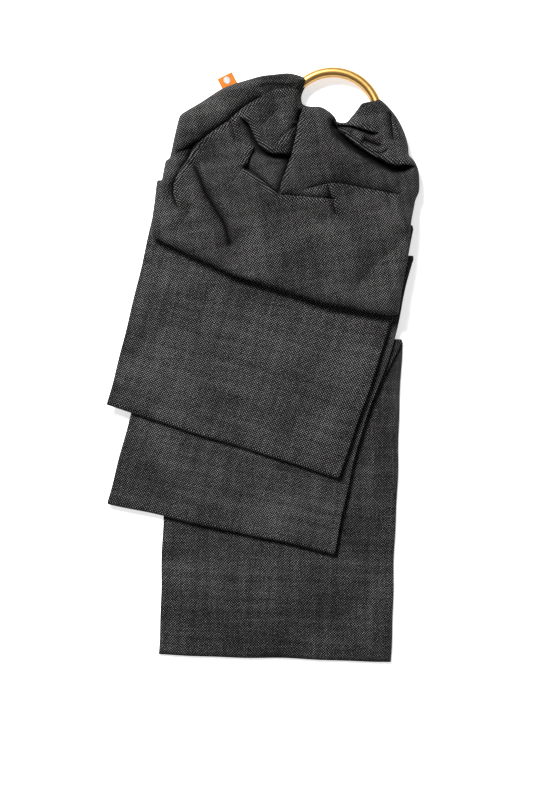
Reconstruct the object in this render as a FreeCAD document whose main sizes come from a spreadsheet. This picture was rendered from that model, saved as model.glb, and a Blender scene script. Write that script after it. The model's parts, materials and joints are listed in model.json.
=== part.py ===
"""A ring sling: a soft baby carrier made of one long woven cloth with two rings at one end.

The cloth is folded in thirds along its length into a strip, and the strip is folded back and
forth into a stack of panels. The tail lies at the bottom, the gathered shoulder on top, and the
shoulder's cloth runs through two aluminium rings and is sewn back on itself. Each panel is a
solid of its own that turns about the fold it shares with the next one.

+Z is up from the floor, +Y points along the strip towards the rings, +X to the right.
"""

import FreeCAD, Part
import os

import Sketcher

doc = FreeCAD.newDocument("ring_sling")

# ---------------------------------------------------------------- driving dimensions
DIMENSIONS = [
    # the folded strip and its stack
    ("strip_width", 214.0),
    ("panel_thickness", 3.6),
    ("layer_gap", 0.4),
    ("fold_clearance", 0.3),
    # the tail's hem line: where its centre lies and how it slants
    ("hem_centre_x", 10.82),
    ("hem_centre_y", -268.95),
    ("hem_tilt", -1.74),
    # each panel's reach along Y and drift along X, from the line it starts at to the next fold
    ("tail_reach", 300.55),
    ("tail_drift", 10.85),
    ("panel_1_reach", 181.35),
    ("panel_1_drift", -60.55),
    ("panel_2_reach", 273.65),
    ("panel_2_drift", 73.15),
    ("panel_3_reach", 193.45),
    ("panel_3_drift", -70.9),
    ("panel_4_reach", 216.85),
    ("panel_4_drift", 57.65),
    ("panel_5_reach", 76.7),
    ("panel_5_drift", -13.95),
    ("shoulder_reach", 98.7),
    ("shoulder_drift", 21.2),
    # each fold line's slant, and how much wider than the strip the cloth spreads there
    ("fold_1_tilt", -4.0),
    ("fold_1_flare", 0.0),
    ("fold_2_tilt", -12.4),
    ("fold_2_flare", 0.0),
    ("fold_3_tilt", -16.5),
    ("fold_3_flare", 0.0),
    ("fold_4_tilt", -17.4),
    ("fold_4_flare", 9.0),
    ("fold_5_tilt", -9.63),
    ("fold_5_flare", 21.6),
    ("fold_6_tilt", -17.6),
    ("fold_6_flare", 20.6),
    ("fold_6_bow", 13.0),
    ("split_tilt", -9.63),
    ("split_flare", 12.7),
    # the gathered shoulder
    ("shoulder_thickness", 18.0),
    ("shoulder_chamfer", 10.0),
    # the rings and the gathered cloth that holds them
    ("ring_bore", 76.2),
    ("ring_stock", 8.0),
    ("ring_gap", 0.4),
    ("ring_clearance", 0.4),
    ("ring_offset_x", 35.8),
    ("ring_offset_y", 56.5),
    ("wrap_below", 4.0),
    ("end_rise", 5.2),
    ("end_chamfer", 3.0),
    # the woven tag
    ("tag_width", 14.6),
    ("tag_length", 10.6),
    ("tag_thickness", 1.4),
    ("tag_height", 13.0),
    ("tag_along", 9.0),
    # the sewing
    ("side_hem", 6.5),
    ("tail_hem", 9.0),
    ("stitch_width", 0.9),
    ("stitch_depth", 0.5),
    ("stitch_side_clearance", 0.05),
    ("stitch_end_margin", 5.0),
    ("seam_distance", 22.0),
    ("seam_spacing", 8.0),
]

sheet = doc.addObject("Spreadsheet::Sheet", "dims")
for row, (alias, value) in enumerate(DIMENSIONS, start=1):
    sheet.set(f"A{row}", alias)
    sheet.set(f"B{row}", str(value))
    sheet.setAlias(f"B{row}", alias)
doc.recompute()


def number(expression):
    """The value that an expression on the sheet has now."""
    return float(sheet.evalExpression(expression))


# ---------------------------------------------------------------- helpers
def make_body(name):
    body = doc.addObject("PartDesign::Body", name)
    body.Label = name
    return body


def origin_plane(body, role):
    return next(f for f in body.Origin.OriginFeatures if f.Role == role)


def place(obj, x, y, z, turn="0"):
    """Binds an object's Placement to the sheet; turn is in degrees about +Z."""
    obj.setExpression("Placement.Base.x", x)
    obj.setExpression("Placement.Base.y", y)
    obj.setExpression("Placement.Base.z", z)
    obj.Placement.Rotation = FreeCAD.Rotation(FreeCAD.Vector(0, 0, 1), number(turn))


def outline(body, name, corners, plane="XY_Plane", bowed=None):
    """A closed sketch through corners, pairs of expressions. The side that starts at corner
    number bowed is an arc through the middle point given with it."""
    sketch = body.newObject("Sketcher::SketchObject", name)
    sketch.AttachmentSupport = (origin_plane(body, plane), [""])
    sketch.MapMode = "FlatFace"
    at = [FreeCAD.Vector(number(x), number(y), 0) for x, y in corners]
    for i, here in enumerate(at):
        there = at[(i + 1) % len(at)]
        if bowed and bowed[0] == i:
            middle = FreeCAD.Vector(number(bowed[1][0]), number(bowed[1][1]), 0)
            clockwise = (middle - here).cross(there - middle).z < 0
            first, last = (there, here) if clockwise else (here, there)
            sketch.addGeometry(Part.Arc(first, middle, last), False)
        else:
            sketch.addGeometry(Part.LineSegment(here, there), False)
    for i, (x, y) in enumerate(corners):
        edge = sketch.Geometry[i]
        start = edge.StartPoint
        forward = start.distanceToPoint(at[i]) < 1e-6
        end = 1 if forward else 2
        for kind, expression in (("DistanceX", x), ("DistanceY", y)):
            index = sketch.addConstraint(
                Sketcher.Constraint(kind, -1, 1, i, end, number(expression))
            )
            sketch.setExpression(f"Constraints[{index}]", expression)
    for i in range(len(corners)):
        following = (i + 1) % len(corners)
        sketch.addConstraint(
            Sketcher.Constraint(
                "Coincident",
                i,
                end_of(sketch, i, at[following]),
                following,
                end_of(sketch, following, at[following]),
            )
        )
    if bowed:
        rise = bowed[2]
        chord = bowed[3]
        radius = f"(({chord}) ^ 2 / 4 + ({rise}) ^ 2) / (2 * ({rise}))"
        index = sketch.addConstraint(Sketcher.Constraint("Radius", bowed[0], number(radius)))
        sketch.setExpression(f"Constraints[{index}]", radius)
    return sketch


def end_of(sketch, edge, point):
    """Which end of a sketch's edge lies at a point: 1 for its start, 2 for its end."""
    start = sketch.Geometry[edge].StartPoint
    return 1 if start.distanceToPoint(point) < 1e-6 else 2


def pad(body, sketch, length):
    feature = body.newObject("PartDesign::Pad", f"{body.Name}_pad")
    feature.Profile = sketch
    feature.setExpression("Length", length)
    doc.recompute()
    return feature


def pocket_from(body, corners, depth, floor):
    """Cuts corners' outline out of a body, from the height floor up by depth."""
    before = body.Tip.Shape.Volume
    sketch = outline(body, f"{body.Name}_groove", corners)
    sketch.setExpression("AttachmentOffset.Base.z", floor)
    feature = body.newObject("PartDesign::Pocket", f"{body.Name}_cut")
    feature.Profile = sketch
    feature.setExpression("Length", depth)
    feature.Reversed = True
    doc.recompute()
    if not feature.Shape.Volume < before or feature.Shape.Volume <= 0:
        raise RuntimeError(f"{feature.Name} cut nothing")
    return feature


def along(start, end, share):
    """The expression of a point's coordinate, at a share of the way between two others."""
    return f"({start}) + (({end}) - ({start})) * ({share})"


# ---------------------------------------------------------------- the fold lines
PITCH = "(dims.panel_thickness + dims.layer_gap)"


def fold_ends(tilt, flare, bow="0"):
    """The left and right end of a line across the strip, counted from the line's centre."""
    half = f"(dims.strip_width + {flare}) / 2"
    back_x = f"({bow}) * sin(-({tilt}))"
    back_y = f"({bow}) * cos({tilt})"
    left = (f"-{half} * cos({tilt}) + {back_x}", f"-{half} * sin({tilt}) + {back_y}")
    right = (f"{half} * cos({tilt}) + {back_x}", f"{half} * sin({tilt}) + {back_y}")
    return left, right


LINES = [("dims.hem_tilt", "0")]
LINES += [(f"dims.fold_{n}_tilt", f"dims.fold_{n}_flare") for n in range(1, 7)]
LINES += [("dims.split_tilt", "dims.split_flare")]
BOWED_LINE = 6

PANELS = ["tail_panel"] + [f"fold_panel_{n}" for n in range(1, 6)] + ["shoulder_panel"]
SIZES = ["tail"] + [f"panel_{n}" for n in range(1, 6)] + ["shoulder"]


def panel_corners(layer):
    """Near left, near right, far right and far left of a panel, from its near line's centre."""
    way = "" if layer % 2 == 0 else "-"
    inward = f"{way or '+'} dims.fold_clearance"
    outward = "- dims.fold_clearance" if layer % 2 == 0 else "+ dims.fold_clearance"
    ends = []
    for line in (layer, layer + 1):
        bow = "dims.fold_6_bow" if line == BOWED_LINE else "0"
        ends.append(fold_ends(*LINES[line], bow))
    size = SIZES[layer]
    near = [(x, f"{y} {inward}") for x, y in ends[0]]
    far = [
        (f"dims.{size}_drift + {x}", f"{way}dims.{size}_reach + {y} {outward}")
        for x, y in ends[1]
    ]
    return near[0], near[1], far[1], far[0]


def bowed_side(layer):
    """The curved side of a panel that ends at the bowed fold: its corner number, a point on
    it, its rise and its chord."""
    if BOWED_LINE not in (layer, layer + 1):
        return None
    chord = "dims.strip_width + dims.fold_6_flare"
    if layer == BOWED_LINE:
        middle = ("0", "dims.fold_clearance")
        return 0, middle, "dims.fold_6_bow", chord
    size = SIZES[layer]
    middle = (f"dims.{size}_drift", f"-dims.{size}_reach + dims.fold_clearance")
    return 2, middle, "dims.fold_6_bow", chord


# ---------------------------------------------------------------- the panels
def line_centre(line):
    """Where the centre of a line across the strip lies: the hem is line 0, and the panels in
    between lead up to it, each even one towards +Y and each odd one back."""
    x, y = "dims.hem_centre_x", "dims.hem_centre_y"
    for layer in range(line):
        x += f" + dims.{SIZES[layer]}_drift"
        y += f" {'+' if layer % 2 == 0 else '-'} dims.{SIZES[layer]}_reach"
    return x, y


def make_panel(layer):
    """One panel of the stack: the strip between two fold lines, as thick as its three plies."""
    name = PANELS[layer]
    body = make_body(name)
    place(body, *line_centre(layer), f"{layer} * {PITCH}")
    doc.recompute()
    sketch = outline(body, f"{name}_outline", panel_corners(layer), bowed=bowed_side(layer))
    thick = "dims.shoulder_thickness" if name == "shoulder_panel" else "dims.panel_thickness"
    pad(body, sketch, thick)
    return body


panels = {name: make_panel(layer) for layer, name in enumerate(PANELS)}


def soften_top(body, size):
    """Chamfers the edges of a body's top face."""
    before = body.Tip
    top = before.Shape.BoundBox.ZMax
    edges = [
        f"Edge{i}"
        for i, edge in enumerate(before.Shape.Edges, start=1)
        if edge.BoundBox.ZMin > top - 1e-6
    ]
    chamfer = body.newObject("PartDesign::Chamfer", f"{body.Name}_soft_edge")
    chamfer.Base = (before, edges)
    chamfer.setExpression("Size", size)
    doc.recompute()


soften_top(panels["shoulder_panel"], "dims.shoulder_chamfer")


# ---------------------------------------------------------------- the sewing
def stitch_row(name, layer, start, end, across, on_top=True):
    """A row of stitches let flush into a panel, from start to end, stitch_width wide along
    the axis named across."""
    body = panels[PANELS[layer]]
    floor = "dims.panel_thickness - dims.stitch_depth" if on_top else "0"

    def strip(half):
        if across == "x":
            return [
                (f"{start[0]} - ({half})", start[1]),
                (f"{start[0]} + ({half})", start[1]),
                (f"{end[0]} + ({half})", end[1]),
                (f"{end[0]} - ({half})", end[1]),
            ]
        return [
            (start[0], f"{start[1]} - ({half})"),
            (end[0], f"{end[1]} - ({half})"),
            (end[0], f"{end[1]} + ({half})"),
            (start[0], f"{start[1]} + ({half})"),
        ]

    pocket_from(
        body,
        strip("dims.stitch_width / 2 + dims.stitch_side_clearance"),
        "dims.stitch_depth",
        floor,
    )
    row = make_body(name)
    place(row, *line_centre(layer), f"{layer} * {PITCH} + {floor}")
    doc.recompute()
    pad(row, outline(row, f"{name}_outline", strip("dims.stitch_width / 2")), "dims.stitch_depth")
    return row


def side_stitches(name, layer):
    """The hem sewn along a panel's right side."""
    _, near, far, _ = panel_corners(layer)
    start_share = f"dims.stitch_end_margin / dims.{SIZES[layer]}_reach"
    end_share = f"1 - {start_share}"
    start = [along(near[k], far[k], start_share) for k in (0, 1)]
    end = [along(near[k], far[k], end_share) for k in (0, 1)]
    start[0] += " - dims.side_hem"
    end[0] += " - dims.side_hem"
    return stitch_row(name, layer, start, end, "x")


def tail_hem_stitches():
    """The hem sewn across the tail's end."""
    left, right, _, _ = panel_corners(0)
    share = "(dims.side_hem + dims.stitch_end_margin) / dims.strip_width"
    start = [along(left[k], right[k], share) for k in (0, 1)]
    end = [along(left[k], right[k], f"1 - {share}") for k in (0, 1)]
    start[1] += " + dims.tail_hem"
    end[1] += " + dims.tail_hem"
    return stitch_row("tail_hem_stitches", 0, start, end, "y")


def channel_seam(row):
    """One of the rows that sew the cloth back on itself, on the shoulder's underside."""
    layer = PANELS.index("shoulder_panel")
    _, _, right, left = panel_corners(layer)
    inset = "dims.seam_distance / dims.strip_width"
    start = [along(left[k], right[k], inset) for k in (0, 1)]
    end = [along(left[k], right[k], f"1 - {inset}") for k in (0, 1)]
    back = f"(dims.seam_distance + {row} * dims.seam_spacing)"
    start[1] += f" - {back}"
    end[1] += f" - {back}"
    return stitch_row(f"channel_seam_row_{row + 1}", layer, start, end, "y", on_top=False)


sewing = [
    tail_hem_stitches(),
    side_stitches("tail_side_stitches", 0),
    side_stitches("middle_side_stitches", 2),
    side_stitches("front_side_stitches", 4),
    channel_seam(0),
    channel_seam(1),
]

# ---------------------------------------------------------------- the rings
RING_STACK = "(2 * dims.ring_stock + dims.ring_gap)"
SPLIT_LINE = len(PANELS)
RING_X = f"{line_centre(SPLIT_LINE)[0]} + dims.ring_offset_x"
RING_Y = f"{line_centre(SPLIT_LINE)[1]} + dims.ring_offset_y"


def make_ring(name, height):
    """One smooth ring, lying flat with its middle at a height."""
    ring = doc.addObject("Part::Torus", name)
    ring.Label = name
    ring.setExpression("Radius1", "(dims.ring_bore + dims.ring_stock) / 2")
    ring.setExpression("Radius2", "dims.ring_stock / 2")
    place(ring, RING_X, RING_Y, height)
    return ring


RING_FLOOR = "(dims.wrap_below + dims.ring_clearance)"
lower_ring = make_ring("lower_ring", f"{RING_FLOOR} + dims.ring_stock / 2")
upper_ring = make_ring(
    "upper_ring", f"{RING_FLOOR} + dims.ring_stock * 3 / 2 + dims.ring_gap"
)

# ---------------------------------------------------------------- the gathered cloth
# Points round the gathered end, counted from the rings' centre: over the left side, down into
# the notch where the rings' opening stays free, and over the right side.
GATHER_LEFT = [
    (-140.3, 1.1),
    (-121.6, 13.9),
    (-102.5, 26.2),
    (-78.0, 35.0),
    (-51.2, 40.2),
    (-25.2, 36.4),
]
GATHER_NOTCH = [
    (-28.5, 20.6),
    (-22.7, 10.9),
    (-11.0, 10.3),
    (2.5, 0.6),
    (4.4, -3.6),
    (11.5, -4.0),
    (22.6, 8.3),
    (26.4, 13.5),
]
GATHER_RIGHT = [
    (42.2, 17.2),
    (58.1, 1.4),
    (69.0, -25.0),
    (74.7, -39.1),
    (79.3, -58.5),
]
TAG_EDGE = (GATHER_LEFT[2], GATHER_LEFT[3])


def make_channel():
    name = "ring_channel"
    body = make_body(name)
    place(body, RING_X, RING_Y, "0")
    doc.recompute()
    left, right = fold_ends(*LINES[-1])
    split = [
        (f"-dims.ring_offset_x + {x}", f"-dims.ring_offset_y + {y} + dims.fold_clearance")
        for x, y in (left, right)
    ]
    round_the_end = [(str(x), str(y)) for x, y in GATHER_LEFT + GATHER_NOTCH + GATHER_RIGHT]
    corners = [split[0]] + round_the_end + [split[1]]
    sketch = outline(body, f"{name}_outline", corners)
    pad(body, sketch, f"{PANELS.index('shoulder_panel')} * {PITCH} + dims.end_rise")
    soften_top(body, "dims.end_chamfer")
    inner = "dims.ring_bore / 2 - dims.ring_clearance"
    outer = "dims.ring_bore / 2 + dims.ring_stock + dims.ring_clearance"
    low = "dims.wrap_below"
    high = f"dims.wrap_below + {RING_STACK} + 2 * dims.ring_clearance"
    section = outline(
        body,
        f"{name}_section",
        [(inner, low), (outer, low), (outer, high), (inner, high)],
        plane="XZ_Plane",
    )
    before = body.Tip.Shape.Volume
    groove = body.newObject("PartDesign::Groove", f"{name}_groove")
    groove.Profile = section
    groove.ReferenceAxis = (section, ["V_Axis"])
    groove.Angle = 360
    doc.recompute()
    if not 0 < groove.Shape.Volume < before:
        raise RuntimeError("the ring groove cut nothing")
    return body


ring_channel = make_channel()


# ---------------------------------------------------------------- the woven tag
def make_tag():
    """The folded tag that sticks out of the gathered end's upper left edge, and the short row
    of stitches across its root."""
    (ax, ay), (bx, by) = TAG_EDGE
    edge = FreeCAD.Vector(bx - ax, by - ay, 0)
    turn = str(FreeCAD.Vector(1, 0, 0).getAngle(edge) * 180 / 3.141592653589793)
    root_x = f"{RING_X} + {ax} + dims.tag_along * {edge.x / edge.Length}"
    root_y = f"{RING_Y} + {ay} + dims.tag_along * {edge.y / edge.Length}"
    tag = make_body("woven_tag")
    place(tag, root_x, root_y, "dims.tag_height", turn)
    doc.recompute()
    half = "dims.tag_width / 2"
    root = "dims.fold_clearance"
    tip = f"{root} + dims.tag_length"
    corners = [(f"-{half}", root), (half, root), (half, tip), (f"-{half}", tip)]
    pad(tag, outline(tag, "woven_tag_outline", corners), "dims.tag_thickness")
    stitches = make_body("tag_stitches")
    place(stitches, root_x, root_y, "dims.tag_height + dims.tag_thickness", turn)
    doc.recompute()
    inset = f"({half} - dims.stitch_width)"
    first = f"{root} + dims.stitch_width / 2"
    last = f"{first} + dims.stitch_width"
    corners = [(f"-{inset}", first), (inset, first), (inset, last), (f"-{inset}", last)]
    pad(stitches, outline(stitches, "tag_stitches_outline", corners), "dims.stitch_depth")
    return tag, stitches


woven_tag, tag_stitches = make_tag()

# ---------------------------------------------------------------- checks and files
doc.recompute()
for obj in doc.Objects:
    if "Invalid" in obj.State or "Error" in obj.State:
        raise RuntimeError(f"{obj.Name} is {obj.State}")

parts = list(panels.values()) + sewing
parts += [ring_channel, upper_ring, lower_ring, woven_tag, tag_stitches]
for part in parts:
    if part.Shape.isNull() or not part.Shape.isValid():
        raise RuntimeError(f"{part.Label} is not a valid solid")
    if len(part.Shape.Solids) != 1:
        raise RuntimeError(f"{part.Label} has {len(part.Shape.Solids)} solids")

os.makedirs("parts", exist_ok=True)
for part in parts:
    part.Shape.exportStep(f"parts/{part.Label}.step")
    box = part.Shape.BoundBox
    print(
        f"{part.Label:24s} x {box.XMin:8.2f} {box.XMax:8.2f}  y {box.YMin:8.2f} {box.YMax:8.2f}"
        f"  z {box.ZMin:6.2f} {box.ZMax:6.2f}  volume {part.Shape.Volume / 1000:8.2f} cm3"
    )
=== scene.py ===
# %% [markdown]
# # A ring sling, folded flat
# A ring sling is one long woven cloth with two aluminium rings at one end. Here the cloth is
# folded in thirds across its width, the strip is folded back and forth into a stack of
# panels, and the pleated shoulder lies on top with its end wrapped round the rings.
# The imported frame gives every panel, fold line and ring its place. The looks built here are
# sheets of cloth with real plies, hems and stitches, and every length is in millimetres until
# a mesh is made.

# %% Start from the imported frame
import json
import math

import bpy
import numpy as np
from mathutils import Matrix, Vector, noise
from mathutils.geometry import delaunay_2d_cdt


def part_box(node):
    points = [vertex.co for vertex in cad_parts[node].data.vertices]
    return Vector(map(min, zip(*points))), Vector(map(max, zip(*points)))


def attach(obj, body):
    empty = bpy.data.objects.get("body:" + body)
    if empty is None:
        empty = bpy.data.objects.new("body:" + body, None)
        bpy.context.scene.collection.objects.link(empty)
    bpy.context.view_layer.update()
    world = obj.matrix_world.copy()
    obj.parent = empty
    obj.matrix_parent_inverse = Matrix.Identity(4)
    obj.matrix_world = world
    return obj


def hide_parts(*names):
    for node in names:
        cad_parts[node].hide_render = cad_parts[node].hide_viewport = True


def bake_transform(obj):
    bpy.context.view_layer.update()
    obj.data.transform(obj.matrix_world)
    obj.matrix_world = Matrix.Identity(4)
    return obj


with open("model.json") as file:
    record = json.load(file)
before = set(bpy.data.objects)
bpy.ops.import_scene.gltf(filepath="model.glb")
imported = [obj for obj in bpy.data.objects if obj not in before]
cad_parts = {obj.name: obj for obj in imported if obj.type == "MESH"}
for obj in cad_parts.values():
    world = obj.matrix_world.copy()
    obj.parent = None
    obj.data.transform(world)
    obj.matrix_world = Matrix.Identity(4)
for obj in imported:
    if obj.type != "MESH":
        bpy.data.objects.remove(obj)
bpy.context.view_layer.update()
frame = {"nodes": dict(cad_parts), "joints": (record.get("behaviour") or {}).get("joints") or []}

MM = 0.001

# %% [markdown]
# ## Reading the frame
# Every panel of the frame is a slab between two fold lines. Its four corners in plan tell where
# the strip's edges run, and each hinge tells where a fold lies and at what height. Nothing is
# measured anywhere else, so the cloth follows the frame if a panel is made longer.

# %% Corners of a slab in plan, and the fold lines
PANELS = ["tail_panel"] + [f"fold_panel_{n}" for n in range(1, 6)] + ["shoulder_panel"]
BODIES = ["tail"] + [f"panel_{n}" for n in range(1, 6)] + ["shoulder"]


def plan_corners(node):
    """Front left, front right, back left and back right corner of a node, in mm."""
    points = np.array([v.co[:2] for v in frame["nodes"][node].data.vertices]) / MM
    ways = [(1, 1), (-1, 1), (1, -1), (-1, -1)]
    return [points[np.argmin(points @ np.array(way))] for way in ways]


corners = {name: plan_corners(name) for name in PANELS}
joints = {joint["name"]: joint for joint in frame["joints"]}
base = [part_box(name)[0].z / MM for name in PANELS]
ring_low, ring_high = (np.array(corner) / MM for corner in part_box("upper_ring"))
ring_centre = (ring_low + ring_high)[:2] / 2
pitch = base[1] - base[0]
print("layer pitch", round(pitch, 2), "mm, ring centre", ring_centre.round(1))


def fold_line(number):
    """A fold's centre in plan, its direction from left to right, and the way out of the stack."""
    joint = joints[f"fold_{number}_open"]
    centre = np.array(joint["pos_m"][:2]) / MM
    along = np.array(joint["axis"][:2]) * (1 if joint["axis"][0] > 0 else -1)
    outward = np.array([-along[1], along[0]]) * (1 if number % 2 else -1)
    return centre, along, outward


# %% [markdown]
# ## How the cloth lies
# Folded cloth isn't dead flat and its edges aren't ruler straight. Two small functions give
# every point of the stack a lift and a drift. All pieces use them, so that plies that touch
# before still touch after. They stay under a millimetre, because each fold turns about a hinge
# of the frame and has to stay on it.

# %% Lift and drift
def ease(t):
    t = np.clip(t, 0, 1)
    return t * t * (3 - 2 * t)


def past(xy, number):
    """How far points lie beyond a fold line, in mm."""
    centre, _, outward = fold_line(number)
    return (xy - centre) @ outward


def ripple(xy, z):
    """The faint unevenness of cloth that has lain folded: nothing at the floor, more above."""
    waves = np.sin(xy[:, 0] / 31 + xy[:, 1] / 53) * np.sin(xy[:, 1] / 37 - xy[:, 0] / 71)
    fine = np.sin(xy[:, 0] / 13 - xy[:, 1] / 17 + 1) * np.sin(xy[:, 1] / 11 + 2)
    return (0.14 * waves + 0.05 * fine) * np.clip(z / 20, 0.25, 1)


def wander(xy, z):
    """Edges of cloth are never ruler straight: a slow drift in plan, the same for every ply."""
    phase = 0.11 * z
    dx = 0.45 * np.sin(xy[:, 1] / 21 + phase) + 0.25 * np.sin(xy[:, 1] / 8.5 + 2 * phase)
    dy = 0.45 * np.sin(xy[:, 0] / 19 + phase) + 0.25 * np.sin(xy[:, 0] / 9.5 - phase)
    return xy + np.column_stack([dx, dy])


# %% [markdown]
# ## From arrays to a piece
# Each piece is made from arrays of points and faces. A UV map in millimetres along and across
# the strip goes with it: the weave is drawn in that map, so the threads follow the cloth.

# %% Mesh helpers
def piece_from(name, points, faces, uv, material=None):
    mesh = bpy.data.meshes.new(name)
    mesh.from_pydata((np.asarray(points) * MM).tolist(), [], [tuple(f) for f in faces])
    layer = mesh.uv_layers.new(name="cloth_mm")
    loops = np.zeros(len(mesh.loops), np.int32)
    mesh.loops.foreach_get("vertex_index", loops)
    layer.data.foreach_set("uv", np.asarray(uv, np.float32)[loops].ravel())
    mesh.polygons.foreach_set("use_smooth", [True] * len(mesh.polygons))
    mesh.update()
    obj = bpy.data.objects.new(name, mesh)
    bpy.context.scene.collection.objects.link(obj)
    if material:
        mesh.materials.append(material)
    return obj


def thicken(obj, thickness, offset=0.0):
    solid = obj.modifiers.new("cloth thickness", "SOLIDIFY")
    solid.thickness = thickness * MM
    solid.offset = offset
    solid.use_even_offset = False
    return obj


def grid_faces(rows, columns, flip=False):
    faces = []
    for i in range(rows - 1):
        for j in range(columns - 1):
            a = i * columns + j
            quad = (a, a + 1, a + columns + 1, a + columns)
            faces.append(quad[::-1] if flip else quad)
    return faces


# %% [markdown]
# ## The cloth's finish
# The real cloth is a charcoal birdseye: a dark warp and a light weft that show as tiny light
# dots in a diamond lattice, a little over 2 mm apart, with slubs that make some threads
# lighter. The dots are the product of two cosines along and across the cloth. Noise stretched
# along each thread direction varies them, and the same pattern drives a small bump.
# In the shoulder's deep creases the colour is also mixed towards near black: painted shade.

# %% Node helpers
def new_material(name, roughness, **sockets):
    material = bpy.data.materials.new(name)
    material.use_nodes = True
    shader = material.node_tree.nodes["Principled BSDF"]
    shader.inputs["Roughness"].default_value = roughness
    for socket, value in sockets.items():
        shader.inputs[socket.replace("_", " ")].default_value = value
    return material, material.node_tree, shader


def node(tree, kind, **settings):
    made = tree.nodes.new(kind)
    for key, value in settings.items():
        if key in made.inputs:
            made.inputs[key].default_value = value
        else:
            setattr(made, key, value)
    return made


def maths(tree, operation, first, second=None):
    made = tree.nodes.new("ShaderNodeMath")
    made.operation = operation
    for socket, value in zip(made.inputs, (first, second)):
        if value is None:
            continue
        if isinstance(value, (int, float)):
            socket.default_value = value
        else:
            tree.links.new(value, socket)
    return made.outputs[0]


def thread_noise(tree, uv, across, along, detail=2.0):
    """Noise that is fine across a thread direction and long along it."""
    stretch = node(tree, "ShaderNodeMapping")
    stretch.inputs["Scale"].default_value = (across, along, 1)
    tree.links.new(uv, stretch.inputs["Vector"])
    cloud = node(tree, "ShaderNodeTexNoise", Scale=1.0, Detail=detail)
    tree.links.new(stretch.outputs[0], cloud.inputs["Vector"])
    return cloud.outputs["Fac"]


def ramp(tree, value, stops):
    made = tree.nodes.new("ShaderNodeValToRGB")
    made.color_ramp.elements[0].position = stops[0][0]
    made.color_ramp.elements[0].color = (*stops[0][1], 1)
    made.color_ramp.elements[1].position = stops[-1][0]
    made.color_ramp.elements[1].color = (*stops[-1][1], 1)
    for position, colour in stops[1:-1]:
        made.color_ramp.elements.new(position).color = (*colour, 1)
    tree.links.new(value, made.inputs["Fac"])
    return made.outputs["Color"]


# %% The birdseye cloth
BIRDSEYE_REPEAT = 2.35
CHARCOAL = (0.002, 0.0018, 0.0018)
PEPPER = (0.011, 0.0106, 0.0107)
SALT = (0.065, 0.0642, 0.064)
BRIGHT = (0.22, 0.218, 0.217)


def birdseye(name):
    material, tree, shader = new_material(name, 0.9)
    shader.inputs["Sheen Weight"].default_value = 0.02
    shader.inputs["Sheen Roughness"].default_value = 0.5
    shader.inputs["Specular IOR Level"].default_value = 0.03
    uv = node(tree, "ShaderNodeUVMap", uv_map="cloth_mm").outputs[0]
    split = node(tree, "ShaderNodeSeparateXYZ")
    tree.links.new(uv, split.inputs[0])
    turn = 2 * math.pi / BIRDSEYE_REPEAT
    wobble = thread_noise(tree, uv, 0.3, 0.3)
    shift = maths(tree, "MULTIPLY", maths(tree, "SUBTRACT", wobble, 0.5), 3.0)
    across = maths(tree, "ADD", maths(tree, "MULTIPLY", split.outputs[0], turn), shift)
    along = maths(tree, "SUBTRACT", maths(tree, "MULTIPLY", split.outputs[1], turn), shift)
    dots = maths(tree, "MULTIPLY", maths(tree, "COSINE", across), maths(tree, "COSINE", along))
    level = maths(tree, "ADD", maths(tree, "MULTIPLY", dots, 0.66), 0.34)
    fade = node(tree, "ShaderNodeMapRange")
    fade.inputs["From Max"].default_value = 700
    fade.inputs["To Min"].default_value = -0.05
    fade.inputs["To Max"].default_value = 0.0
    tree.links.new(split.outputs[1], fade.inputs["Value"])
    level = maths(tree, "ADD", level, fade.outputs[0])
    shares = [
        (thread_noise(tree, uv, 1.1, 0.05), 0.24),
        (thread_noise(tree, uv, 0.05, 1.1), 0.24),
        (thread_noise(tree, uv, 0.16, 0.008), 0.22),
        (thread_noise(tree, uv, 0.008, 0.16), 0.25),
        (thread_noise(tree, uv, 0.55, 0.55, 2.0), 0.55),
        (thread_noise(tree, uv, 0.02, 0.02, 3.0), 0.42),
    ]
    for part, weight in shares:
        spread = maths(tree, "MULTIPLY", maths(tree, "SUBTRACT", part, 0.5), weight)
        level = maths(tree, "ADD", level, spread)
    colour = ramp(tree, level, [(0.2, CHARCOAL), (0.5, PEPPER), (0.75, SALT), (1.0, BRIGHT)])
    # Painted shade: a value stored on the shoulder's points mixes the weave towards the near-black
    # colour below in deep creases, where shade falls.
    painted_crease_shade = node(tree, "ShaderNodeAttribute", attribute_name="painted_crease_shade").outputs["Fac"]
    shaded = node(tree, "ShaderNodeMix", data_type="RGBA")
    tree.links.new(painted_crease_shade, shaded.inputs[0])
    tree.links.new(colour, shaded.inputs[6])
    shaded.inputs[7].default_value = (0.0009, 0.0006, 0.0006, 1)
    tree.links.new(shaded.outputs[2], shader.inputs["Base Color"])
    bump = node(tree, "ShaderNodeBump", Strength=0.5, Distance=0.0004)
    tree.links.new(level, bump.inputs["Height"])
    tree.links.new(bump.outputs[0], shader.inputs["Normal"])
    return material


cloth = birdseye("charcoal birdseye cloth")
print("cloth material:", len(cloth.node_tree.nodes), "nodes")

# %% [markdown]
# ## The strip's section
# Seen from its end, the strip is one cloth laid in a Z: three plies, with a turn at the right
# between the two lower ones and a turn at the left between the two upper ones. The free edge of
# the top ply is the hem on the right. One list of points describes that Z, as a share of the
# width and a height, and every panel and every fold is drawn from it. On each second panel the
# strip lies the other way up, so the heights are mirrored there.

# %% The Z of three plies
CLOTH = 0.8
PLY_HEIGHTS = (0.55, 1.8, 3.05)
TURN = (PLY_HEIGHTS[1] - PLY_HEIGHTS[0]) / 2
HEM_WIDTH = 6.5
FOLD_INSET = 1.1


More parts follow.
